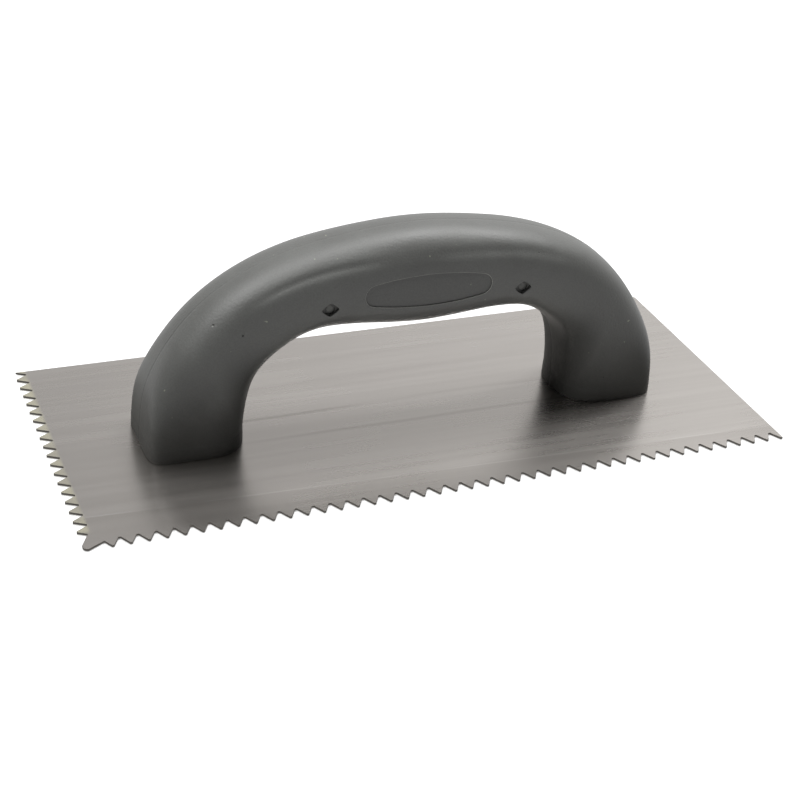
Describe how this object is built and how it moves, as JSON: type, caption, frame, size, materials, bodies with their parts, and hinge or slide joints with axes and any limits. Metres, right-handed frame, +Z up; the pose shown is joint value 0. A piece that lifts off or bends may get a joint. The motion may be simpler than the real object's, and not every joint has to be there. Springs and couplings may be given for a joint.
{
  "type": "notched trowel",
  "caption": "V-notched adhesive trowel: thin steel sheet blade toothed on a long and a short edge, under an arched hollow loop handle on two feet.",
  "frame": {"origin": "centre of the blade's underside, which is the centre of the whole tool's footprint", "axes": "+X along the blade, from the notched short edge to the plain one; +Y across it, from the notched long edge to the plain one; +Z up through the handle"},
  "size_m": [0.2286, 0.1016, 0.0665],
  "materials": {
    "blade_steel": "fine lengthwise rolling grain, semi-bright, lightly oiled",
    "handle_plastic": "satin dark grey moulded plastic",
    "screw_steel": "bright zinc-plated steel"
  },
  "bodies": {
    "root": {"blade": "blade_steel", "front_handle_shell": "handle_plastic", "rear_handle_shell": "handle_plastic", "shell_screws": "screw_steel", "blade_screws": "screw_steel", "square_nuts": "screw_steel"}
  },
  "joints": []
}
